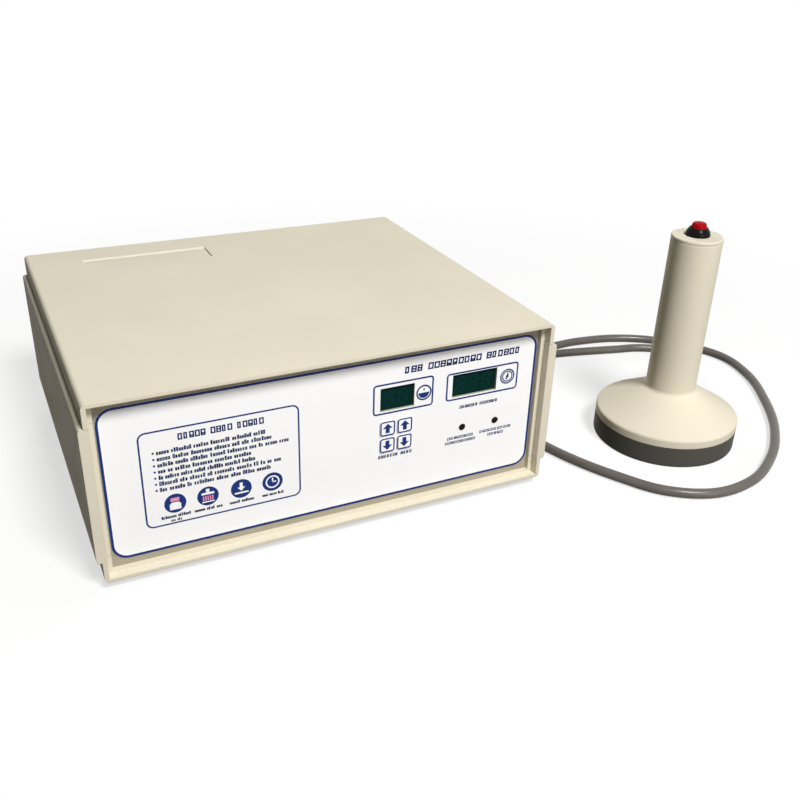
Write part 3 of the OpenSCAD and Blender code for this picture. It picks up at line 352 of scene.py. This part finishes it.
def film(name, colour, rough):
    """Printed polyester film with a satin face."""
    finish = Finish(name, coat=0.5, coat_rough=0.3)
    finish.shades(finish.noise(scale=6), colour, spread=0.012)
    finish.gloss(finish.noise(scale=45), low=rough - 0.04, high=rough + 0.05)
    finish.relief(finish.noise(scale=2600, detail=1), depth=0.000004, edge=0.0001)
    return finish.material


def ink(name, colour, rough=0.45, specular=0.2):
    """Screen ink, a little uneven in weight."""
    finish = Finish(name, specular=specular)
    finish.shades(finish.noise(scale=320), colour, spread=0.07)
    finish.gloss(finish.noise(scale=120, detail=1), low=rough - 0.06, high=rough + 0.06)
    return finish.material


def tinted_window():
    """Dark green acrylic with a polished face."""
    finish = Finish("tinted_window", specular=0.015)
    finish.colours(finish.noise(scale=60), WINDOW_DARK, WINDOW_LIGHT)
    finish.gloss(finish.noise(scale=30), low=0.12, high=0.2)
    return finish.material


def metal(name, colour, rough, stretch=(1, 1, 1)):
    """Bare metal, with brushed lines where the pattern is stretched."""
    finish = Finish(name, metallic=1.0)
    lines = finish.noise(scale=500, stretch=stretch)
    finish.shades(lines, colour, spread=0.06)
    finish.gloss(lines, low=rough - 0.08, high=rough + 0.1)
    finish.relief(finish.noise(scale=1000, detail=1, stretch=stretch), depth=0.00001, edge=0.0002)
    return finish.material


def winding():
    """Enamelled copper wire in close turns, with painted shade darkening the grooves between them."""
    finish = Finish("copper", metallic=0.85, coat=0.5)
    turns = finish.bands(scale=320, axis="Z")
    # The grooves between turns take a darker copper: painted shade between the wires
    finish.colours(turns, [c * 0.45 for c in COPPER[:3]] + [1], COPPER)
    finish.gloss(finish.noise(scale=80), low=0.25, high=0.4)
    finish.relief(turns, depth=0.0004)
    return finish.material


def circuit_board():
    """Green solder mask over tracks."""
    finish = Finish("circuit_board", coat=0.3)
    cells = finish.add("ShaderNodeTexBrick", {"Scale": 45.0, "Mortar Size": 0.03}, Vector=finish.place)
    finish.colours(cells.outputs["Fac"], BOARD_GREEN, TRACK_GREEN, start=0.2, end=0.8)
    finish.gloss(finish.noise(scale=200), low=0.28, high=0.42)
    finish.relief(cells.outputs["Fac"], depth=0.00003)
    return finish.material


def cable_jacket():
    """Flexible jacket with a soft shine and faint scuffs."""
    finish = Finish("cable_jacket", specular=0.28)
    finish.shades(finish.noise(scale=55, detail=4), CABLE_GREY, spread=0.07)
    finish.gloss(finish.noise(scale=130, detail=3), low=0.2, high=0.32)
    finish.relief(finish.noise(scale=900), depth=0.00003)
    return finish.material


def rubber():
    finish = Finish("rubber", specular=0.3)
    finish.shades(finish.noise(scale=80, detail=3), RUBBER_BLACK, spread=0.12)
    finish.gloss(finish.noise(scale=150), low=0.62, high=0.82)
    finish.relief(finish.noise(scale=1200), depth=0.00003, edge=0.0005)
    return finish.material


def make_finishes():
    """A material for each of the record's material slots, and a polished black."""
    plastics = {
        "case_plastic": dict(colour=BEIGE, rough=0.45, spread=0.03, specular=0.006),
        # panel beige, darkened as painted shade for the recess round the overlay
        "panel_plastic": dict(colour=SHADED_PANEL_BEIGE, rough=0.6, specular=0.14),
        "black_plastic": dict(colour=SOFT_BLACK, rough=0.36, spread=0.08, specular=0.3, edge=0.0004),
        "polished_black": dict(colour=BLACK, rough=0.26, spread=0.08, specular=0.07, edge=0.0004),
        "ferrite": dict(colour=FERRITE_GREY, rough=0.6, spread=0.15, depth=0.00004),
        "capacitor_sleeve": dict(colour=SLEEVE_BLUE, rough=0.25, spread=0.04),
        "capacitor_film": dict(colour=CAPACITOR_YELLOW, rough=0.3, spread=0.05),
        "terminal_plastic": dict(colour=TERMINAL_GREEN, rough=0.4, spread=0.04),
        "former_plastic": dict(colour=FORMER_WHITE, rough=0.5),
        "grey_plastic": dict(colour=DARK_GREY, rough=0.5, spread=0.05, specular=0.025),
        "red_plastic": dict(colour=RED, rough=0.2, spread=0.05, specular=0.03, depth=0.000004),
    }
    made = {name: moulded(name, **look) for name, look in plastics.items()}
    made["overlay_film"] = film("overlay_film", FILM_WHITE, rough=0.42)
    made["key_film"] = film("key_film", KEY_WHITE, rough=0.38)
    made["tinted_window"] = tinted_window()
    made["rubber"] = rubber()
    made["steel"] = metal("steel", STEEL, rough=0.32)
    made["aluminium"] = metal("aluminium", ALUMINIUM, rough=0.36, stretch=(1, 0.03, 1))
    made["circuit_board"] = circuit_board()
    made["copper"] = winding()
    made["cable_jacket"] = cable_jacket()
    return made


def make_inks():
    return {
        "navy": ink("navy_ink", NAVY),
        "white": ink("white_ink", FILM_WHITE),
        "pink": ink("pink_ink", PINK),
        "segment": ink("blank_segment", SEGMENT, rough=0.2, specular=0.015),
        "mark": ink("white_mark", MARK_WHITE),
    }


def dress_solids(finishes):
    for part in frame["record"]["subparts"]:
        node = part["node"]
        slots = nodes[node].data.materials
        slots.clear()
        slots.append(finishes["polished_black" if node in POLISHED_NODES else part["material_slot"]])


# Outlines of flat print, in millimetres and degrees

def arc(x, z, radius, start, end, steps):
    angles = [math.radians(start + (end - start) * i / steps) for i in range(steps + 1)]
    return [(x + radius * math.cos(a), z + radius * math.sin(a)) for a in angles]


def circle(x, z, radius, steps=36):
    return arc(x, z, radius, 0, 360 - 360 / steps, steps - 1)


def rectangle(x0, z0, x1, z1, radius=0.0):
    """Outline of a rectangle, with round corners if a radius is given."""
    if not radius:
        return [(x0, z0), (x1, z0), (x1, z1), (x0, z1)]
    corners = [
        (x1 - radius, z0 + radius, -90), (x1 - radius, z1 - radius, 0),
        (x0 + radius, z1 - radius, 90), (x0 + radius, z0 + radius, 180),
    ]
    outline = []
    for x, z, start in corners:
        outline += arc(x, z, radius, start, start + 90, steps=6)
    return outline


def bar(x0, z0, x1, z1, width):
    """A straight stroke between two points."""
    along = Vector((x1 - x0, z1 - z0)).normalized()
    side = Vector((-along.y, along.x)) * width / 2
    return [
        (x0 - side.x, z0 - side.y), (x1 - side.x, z1 - side.y),
        (x1 + side.x, z1 + side.y), (x0 + side.x, z0 + side.y),
    ]


def moved(outline, x, z):
    return [(x + u, z + v) for u, v in outline]


class Print:
    """Flat shapes in one ink on a face, each a closed sheet that stands a little proud of the face.

    place() turns a point of the flat drawing and its height over the face into a point in metres.
    """

    SUNK = 0.02
    PROUD = 0.04

    def __init__(self, place, proud=PROUD):
        self.place = place
        self.proud = proud
        self.mesh = bmesh.new()

    def loop(self, outline, height):
        return [self.mesh.verts.new(self.place(u, v, height)) for u, v in outline]

    def walls(self, low, high):
        count = len(low)
        for i in range(count):
            j = (i + 1) % count
            self.mesh.faces.new((low[i], low[j], high[j], high[i]))

    def fill(self, *outlines):
        for outline in outlines:
            low = self.loop(outline, -self.SUNK)
            high = self.loop(outline, self.proud)
            self.walls(low, high)
            self.mesh.faces.new(high)
            self.mesh.faces.new(low[::-1])

    def line(self, outer, inner):
        """A closed line between two outlines with as many points."""
        edges = ((outer, -self.SUNK), (outer, self.proud), (inner, self.proud), (inner, -self.SUNK))
        rings = [self.loop(outline, height) for outline, height in edges]
        for k in range(4):
            self.walls(rings[k], rings[(k + 1) % 4])

    def frame(self, x0, z0, x1, z1, radius, width):
        outer = rectangle(x0, z0, x1, z1, radius)
        inner = rectangle(x0 + width, z0 + width, x1 - width, z1 - width, radius - width)
        self.line(outer, inner)

    def ring(self, x, z, radius, width):
        self.line(circle(x, z, radius), circle(x, z, radius - width))

    def finish(self, name, material, body, slot):
        piece = mesh_piece(self.mesh, name, material)
        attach(piece, body)


def on_front(face):
    """Places a drawing in x and z on a face to the front, face millimetres before the middle of the case."""
    return lambda x, z, height: case_point(x, -face - height, z)


def front_middle(node):
    """Middle of a node as seen from the front, in x and z, in millimetres from the middle of the case."""
    low, high = (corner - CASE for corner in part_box(node))
    return (low.x + high.x) / 2 / MM, (low.z + high.z) / 2 / MM


# Made-up signs in place of letters. They are boxes, some with a bar across.
# Widths are shares of the pitch. Bar places, small heights and stroke weights are shares of the height.

SIGN_WIDTHS = (0.88, 0.88, 0.8, 0.66)
SIGN_BARS = (None, None, None, 0.5, 0.36)
SIGN_HEIGHTS = (0.72, 0.72, 0.72, 1.0)
WORD_SPACE = 0.75
TITLE_WEIGHT = 0.23
HEADING_WEIGHT = 0.21
TEXT_WEIGHT = 0.22
SMALL_WEIGHT = 0.27
sign_draw = random.Random(7)


def sign(ink_layer, x, z, pitch, height, stroke, lean):
    """One made-up sign with its lower left corner at x, z."""
    right = x + pitch * sign_draw.choice(SIGN_WIDTHS)
    top = z + height
    strokes = [
        (x, z, x + stroke, top), (right - stroke, z, right, top),
        (x, top - stroke, right, top), (x, z, right, z + stroke),
    ]
    bar_at = sign_draw.choice(SIGN_BARS)
    if bar_at:
        strokes.append((x, z + height * bar_at - stroke / 2, right, z + height * bar_at + stroke / 2))
    for box in strokes:
        ink_layer.fill([(u + lean * (v - z), v) for u, v in rectangle(*box)])


def lettering(ink_layer, x0, x1, z, height, word_letters, weight, lean=0.0, capitals=True):
    """A line of word-like groups of signs from x0 to x1, in place of lettering."""
    pitch = (x1 - x0) / (sum(word_letters) + WORD_SPACE * (len(word_letters) - 1))
    x = x0
    for letters in word_letters:
        for _ in range(letters):
            tall = height if capitals else height * sign_draw.choice(SIGN_HEIGHTS)
            sign(ink_layer, x, z - height / 2, pitch, tall, weight * height, lean)
            x += pitch
        x += pitch * WORD_SPACE


# Print on the front, in millimetres from the middle of the case. Boxes are left, bottom, right and top.
# Lines of signs are left end, right end, middle, height and the letters of each word. The overlay's face lies
# FACE before the middle of the case.

FACE = 130.0
OVERLAY = (-152.5, 15.0, 152.5, 122.0)
OVERLAY_RADIUS = 10.5
BORDER_WIDTH = 1.7

GUIDE_BOX = (-130, 32.5, -27, 101.5)
GUIDE_RADIUS = 5
GUIDE_LINE = 1.1
GUIDE_HEADING = (-105.6, -50.3, 94.6, 4.6, (5, 4, 5))
GUIDE_TOP_LINE = 86.2
GUIDE_PITCH = 4.45
GUIDE_TEXT_X = -119.4
GUIDE_LINE_ENDS = (-50, -46, -34.5, -60, -57.5, -40, -47)
GUIDE_TEXT_HEIGHT = 3.0
GUIDE_LETTER_PITCH = 1.6
BULLET_X = -121.4
BULLET_RADIUS = 0.75

ICON_PLACES = (-110.8, -89.8, -67.8, -46.6)
ICON_Z = 47.6
ICON_RADIUS = 7.0
CAPTION_WORDS = ((8, 7), (5, 4, 3), (5, 6), (4, 5, 4))
CAPTION_HALVES = (9.4, 9.2, 8.2, 7.4)
CAPTION_Z = 38.4
CAPTION_HEIGHT = 2.3
SECOND_CAPTION_HALF = 3.6
SECOND_CAPTION_Z = 35.4
SECOND_CAPTION_HEIGHT = 2.0

TIME_FRAME = (25, 81, 70.5, 104)
VOLT_FRAME = (80.5, 81, 138.5, 102.4)
FRAME_RADIUS = 2.6
FRAME_LINE = 1.25
TIME_DIAL = (63.2, 92.0)
VOLT_DIAL = (129.8, 92.0)
DIAL_RADIUS = 5.9

LABEL_LEAN = 0.08
TITLE = (48, 139, 111.4, 5.0, (3, 9, 6))
CONTROL_LABELS = (
    (92, 123, 74.6, 2.3, (7, 7)),
    (29.6, 55.6, 47.8, 2.3, (7, 4)),
    (83.5, 105.5, 50.4, 2.1, (8,)),
    (82.0, 107.0, 46.8, 2.1, (10,)),
    (110.0, 137.0, 50.8, 2.1, (11,)),
    (117.0, 130.5, 47.2, 2.1, (5,)),
)

# Shapes about their own middle
BOTTLE = [(-3.6, -4.6), (3.6, -4.6), (3.6, -0.6), (2.2, 0.8), (-2.2, 0.8), (-3.6, -0.6)]
BOTTLE_CAP = rectangle(-2.8, 1.5, 2.8, 4.2, radius=0.5)
HEAD_PLATE = rectangle(-4.2, 1.2, 4.2, 2.8, radius=0.6)
HEAD_STEM = rectangle(-1.1, 2.6, 1.1, 5.4)
HEAD_RAY = rectangle(-0.45, -3.2, 0.45, 0.2)
HEAD_RAY_PLACES = (-3.0, -1.5, 0.0, 1.5, 3.0)
CAP_PLATE = rectangle(-4, -4.6, 4, -3.8)
PRESSED_PLATE = rectangle(-4.6, -3.6, 4.6, -2.4)
PRESS_ARROW = [(-1, 4.6), (-1, 1.2), (-2.6, 1.2), (0, -1.6), (2.6, 1.2), (1, 1.2), (1, 4.6)]
CLOCK_HANDS = (bar(0, -0.4, 0, 3, 0.9), bar(-0.4, 0, 2.4, 0, 0.9))
TIME_DIAL_MARKS = (arc(0, 0, 4.2, 180, 360, 18), bar(0, 1.4, 0, 3.4, 0.8))
VOLT_DIAL_MARKS = (bar(-0.9, -2.4, 0.6, 2.6, 1.2), circle(0, 0, 1.1, 20))


def guide_text(navy):
    """The boxed guide at the left: a heading and bulleted lines, greeked."""
    word_draw = random.Random(11)
    lettering(navy, *GUIDE_HEADING, HEADING_WEIGHT)
    for i, end in enumerate(GUIDE_LINE_ENDS):
        z = GUIDE_TOP_LINE - i * GUIDE_PITCH
        navy.fill(circle(BULLET_X, z, BULLET_RADIUS, steps=16))
        words = []
        while sum(words) + len(words) < (end - GUIDE_TEXT_X) / GUIDE_LETTER_PITCH:
            words.append(word_draw.randint(2, 8))
        lettering(navy, GUIDE_TEXT_X, end, z, GUIDE_TEXT_HEIGHT, words, TEXT_WEIGHT, capitals=False)


def caption(navy, x, half, z, height, words):
    lettering(navy, x - half, x + half, z, height, words, SMALL_WEIGHT, capitals=False)


def guide_captions(navy):
    """A line of signs under each pictogram, and a second one under the first."""
    for x, words, half in zip(ICON_PLACES, CAPTION_WORDS, CAPTION_HALVES):
        caption(navy, x, half, CAPTION_Z, CAPTION_HEIGHT, words)
    caption(navy, ICON_PLACES[0], SECOND_CAPTION_HALF, SECOND_CAPTION_Z, SECOND_CAPTION_HEIGHT, (3, 3))


def guide_icons(navy, white, pink):
    """Four round pictograms: a capped bottle, a head over a cap, a pressed button and a clock."""
    for x in ICON_PLACES:
        navy.fill(circle(x, ICON_Z, ICON_RADIUS))
    bottle, head, press, clock = ICON_PLACES
    for layer, x, outlines in (
        (white, bottle, (BOTTLE,)),
        (pink, bottle, (BOTTLE_CAP,)),
        (white, head, (HEAD_PLATE, HEAD_STEM, CAP_PLATE)),
        (pink, head, [moved(HEAD_RAY, place, 0) for place in HEAD_RAY_PLACES]),
        (white, press, (PRESSED_PLATE, PRESS_ARROW)),
        (white, clock, CLOCK_HANDS),
    ):
        layer.fill(*(moved(outline, x, ICON_Z) for outline in outlines))
    white.ring(clock, ICON_Z, radius=4.8, width=1.0)


def display_frames(navy):
    """Lined frames round the windows, with a dial beside each window."""
    for box in (TIME_FRAME, VOLT_FRAME):
        navy.frame(*box, FRAME_RADIUS, FRAME_LINE)
    navy.ring(*TIME_DIAL, DIAL_RADIUS, width=1.2)
    navy.fill(*(moved(mark, *TIME_DIAL) for mark in TIME_DIAL_MARKS))
    navy.ring(*VOLT_DIAL, DIAL_RADIUS, width=1.1)
    navy.ring(*VOLT_DIAL, radius=4.3, width=0.9)
    navy.fill(*(moved(mark, *VOLT_DIAL) for mark in VOLT_DIAL_MARKS))


def panel_labels(navy):
    """Greeked lettering over and under the controls."""
    lettering(navy, *TITLE, TITLE_WEIGHT, LABEL_LEAN)
    for label in CONTROL_LABELS:
        lettering(navy, *label, SMALL_WEIGHT, LABEL_LEAN)


def print_front(inks):
    navy = Print(on_front(FACE))
    white = Print(on_front(FACE + Print.PROUD))
    pink = Print(on_front(FACE + Print.PROUD))
    navy.frame(*OVERLAY, OVERLAY_RADIUS, BORDER_WIDTH)
    navy.frame(*GUIDE_BOX, GUIDE_RADIUS, GUIDE_LINE)
    guide_text(navy)
    guide_captions(navy)
    guide_icons(navy, white, pink)
    display_frames(navy)
    panel_labels(navy)
    navy.finish("front_print_navy", inks["navy"], "root", "overlay_film")
    white.finish("front_print_white", inks["white"], "root", "overlay_film")
    pink.finish("front_print_pink", inks["pink"], "root", "overlay_film")


# Keys, in millimetres

KEY_FACE = 130.8
KEY_HALF = 5.6
KEY_RADIUS = 2.1
KEY_LINE = 1.05
KEY_ARROW = [(-1.5, -3.5), (1.5, -3.5), (1.5, 0.1), (3.6, 0.1), (0, 3.8), (-3.6, 0.1), (-1.5, 0.1)]


def print_keys(inks):
    """A line round each key, and an arrow up or down."""
    for name in ("tens_up_key", "ones_up_key", "tens_down_key", "ones_down_key"):
        x, z = front_middle(name)
        up = 1 if "_up_" in name else -1
        key = Print(on_front(KEY_FACE))
        key.frame(x - KEY_HALF, z - KEY_HALF, x + KEY_HALF, z + KEY_HALF, KEY_RADIUS, KEY_LINE)
        key.fill([(x + u, z + up * v) for u, v in KEY_ARROW])
        key.finish(name + "_print", inks["navy"], name, "key_film")


# Seven-segment figures behind the windows, in millimetres. The stroke is a share of the width.

WINDOW_FACE = 128.0
FIGURE_WIDTH = 7
FIGURE_HEIGHT = 12.2
FIGURE_PITCH = 10.2
FIGURE_STROKE = 0.2
FIGURE_GAP = 0.25
FIGURE_LEAN = 0.1
FIGURE_PROUD = 0.03
FIGURES = {"time_window": 2, "voltage_window": 3}


def blank_figure(layer, x, z):
    """The seven strokes of a figure that isn't lit, leaning a little."""
    stroke = FIGURE_WIDTH * FIGURE_STROKE
    w = FIGURE_WIDTH / 2 - stroke / 2
    h = FIGURE_HEIGHT / 2 - stroke / 2
    level = [(-w, v, w, v) for v in (-h, 0, h)]
    upright = [(u, v0, u, v0 + h) for u in (-w, w) for v0 in (-h, 0)]
    for x0, z0, x1, z1 in level + upright:
        along = Vector((x1 - x0, z1 - z0)).normalized() * (stroke / 2 + FIGURE_GAP)
        corners = bar(x0 + along.x, z0 + along.y, x1 - along.x, z1 - along.y, stroke)
        layer.fill([(x + u + FIGURE_LEAN * v, z + v) for u, v in corners])


def print_displays(inks):
    layer = Print(on_front(WINDOW_FACE), FIGURE_PROUD)
    for node, count in FIGURES.items():
        middle, z = front_middle(node)
        for i in range(count):
            blank_figure(layer, middle + (i - (count - 1) / 2) * FIGURE_PITCH, z)
    layer.finish("display_segments", inks["segment"], "root", "tinted_window")


# The power switch, in millimetres: its pivot from the middle of the case, how far the fold in the middle of
# its face stands out from the pivot, how far each half rises over its reach, and the tilt at rest

ROCKER_PIVOT = Vector((-105, 130.2, 92))
ROCKER_FOLD = 2.2
ROCKER_RISE = 1.6
ROCKER_REACH = 8.2
ROCKER_TILT = math.radians(-10)


def on_rocker(half):
    """Places a drawing on the upper (1) or lower (-1) half of the rocker, v from its middle outwards."""
    tilt = Matrix.Rotation(ROCKER_TILT, 3, "X")
    slant = math.atan2(ROCKER_RISE, ROCKER_REACH)
    along = Vector((0, math.sin(slant), half * math.cos(slant)))
    out = Vector((0, math.cos(slant), -half * math.sin(slant)))

    def place(u, v, height):
        spot = Vector((-u, ROCKER_FOLD, 0)) + along * v + out * height
        return case_point(*(ROCKER_PIVOT + tilt @ spot))
    return place


def mark_rocker(inks):
    """The usual line and ring for on and off."""
    line = Print(on_rocker(1))
    line.fill(bar(0, 3.0, 0, 6.2, width=0.7))
    line.finish("power_rocker_line", inks["mark"], "power_rocker", "black_plastic")
    ring = Print(on_rocker(-1))
    ring.ring(0, 4.6, radius=1.6, width=0.55)
    ring.finish("power_rocker_ring", inks["mark"], "power_rocker", "black_plastic")


# Stage and light, in metres and watts

WHITE = (1, 1, 1, 1)
WORLD_LIGHT = 0.06
WORLD_TONE = (1.0, 0.96, 0.88, 1)
FLOOR_SIZE = 30
FLOOR_TONE = (0.13, 0.115, 0.09, 1)
SHADOW_SHARE = 0.34
SHADOW_NEAR = 0.36
SHADOW_FAR = 0.75
LAMP_DISTANCE = 2.4
LAMP_AIM = Vector((0, 0, 0.06))


def shown_rays(tree):
    """1 for rays from the camera and in reflections or glass, 0 for the rest."""
    path = tree.nodes.new("ShaderNodeLightPath")
    most = path.outputs["Is Camera Ray"]
    for name in ("Is Glossy Ray", "Is Transmission Ray"):
        most = calculate(tree, "MAXIMUM", most, path.outputs[name])
    return most


def make_world():
    """White to the camera and in reflections, and a dim even light on the object."""
    world = bpy.data.worlds.new("studio")
    bpy.context.scene.world = world
    world.use_nodes = True
    tree = world.node_tree
    tree.nodes.clear()
    seen = add_node(tree, "ShaderNodeBackground", {"Color": WHITE, "Strength": 1.0})
    lit = add_node(tree, "ShaderNodeBackground", {"Color": WORLD_TONE, "Strength": WORLD_LIGHT})
    mixed = mix_shaders(tree, shown_rays(tree), lit.outputs["Background"], seen.outputs["Background"])
    add_node(tree, "ShaderNodeOutputWorld", Surface=mixed)


def floor_material():
    """White to the camera, with a faint shadow near the set that is gone from SHADOW_FAR outwards."""
    material = bpy.data.materials.new("floor")
    material.use_nodes = True
    tree = material.node_tree
    shown = shown_rays(tree)
    tone = add_node(tree, "ShaderNodeMixRGB", {"Color1": FLOOR_TONE, "Color2": WHITE}, Fac=shown)
    shader = tree.nodes["Principled BSDF"]
    set_sockets(shader, {"Roughness": 0.9, "Specular IOR Level": 0.0})
    tree.links.new(tone.outputs["Color"], shader.inputs["Base Color"])
    glow = add_node(tree, "ShaderNodeEmission", {"Color": WHITE})
    distance = tree.nodes.new("ShaderNodeVectorMath")
    distance.operation = "LENGTH"
    tree.links.new(tree.nodes.new("ShaderNodeTexCoord").outputs["Object"], distance.inputs[0])
    fading = {"From Min": SHADOW_NEAR, "From Max": SHADOW_FAR, "To Min": 1 - SHADOW_SHARE}
    fade = add_node(tree, "ShaderNodeMapRange", fading, Value=distance.outputs["Value"])
    fade.interpolation_type = "SMOOTHSTEP"
    share = calculate(tree, "MULTIPLY", shown, fade.outputs["Result"])
    mixed = mix_shaders(tree, share, shader.outputs["BSDF"], glow.outputs["Emission"])
    tree.links.new(mixed, tree.nodes["Material Output"].inputs["Surface"])
    return material


def make_floor():
    half = FLOOR_SIZE / 2
    data = bpy.data.meshes.new("floor")
    data.from_pydata([(x, y, 0) for x, y in rectangle(-half, -half, half, half)], [], [(0, 1, 2, 3)])
    data.materials.append(floor_material())
    link(bpy.data.objects.new("floor", data))


def lamp(name, azimuth, elevation, size, power):
    """A square soft light aimed at the middle of the set."""
    towards = direction(azimuth, elevation)
    data = bpy.data.lights.new(name, "AREA")
    data.size = size
    data.energy = power
    light = link(bpy.data.objects.new(name, data))
    light.location = LAMP_AIM + towards * LAMP_DISTANCE
    light.rotation_mode = "QUATERNION"
    light.rotation_quaternion = towards.to_track_quat("Z", "Y")
    return light


def make_lights():
    lamp("key_light", azimuth=4, elevation=52, size=0.6, power=59.5)
    lamp("front_light", azimuth=8, elevation=14, size=1.0, power=12.5)
    back = lamp("back_light", azimuth=172, elevation=16, size=0.8, power=24)
    back.visible_glossy = False


make_camera()
finishes = make_finishes()
make_cable(finishes["cable_jacket"])
make_spring(finishes["steel"])
dress_solids(finishes)
inks = make_inks()
print_front(inks)
print_keys(inks)
print_displays(inks)
mark_rocker(inks)
make_world()
make_floor()
make_lights()
bpy.context.scene.view_settings.view_transform = "Standard"
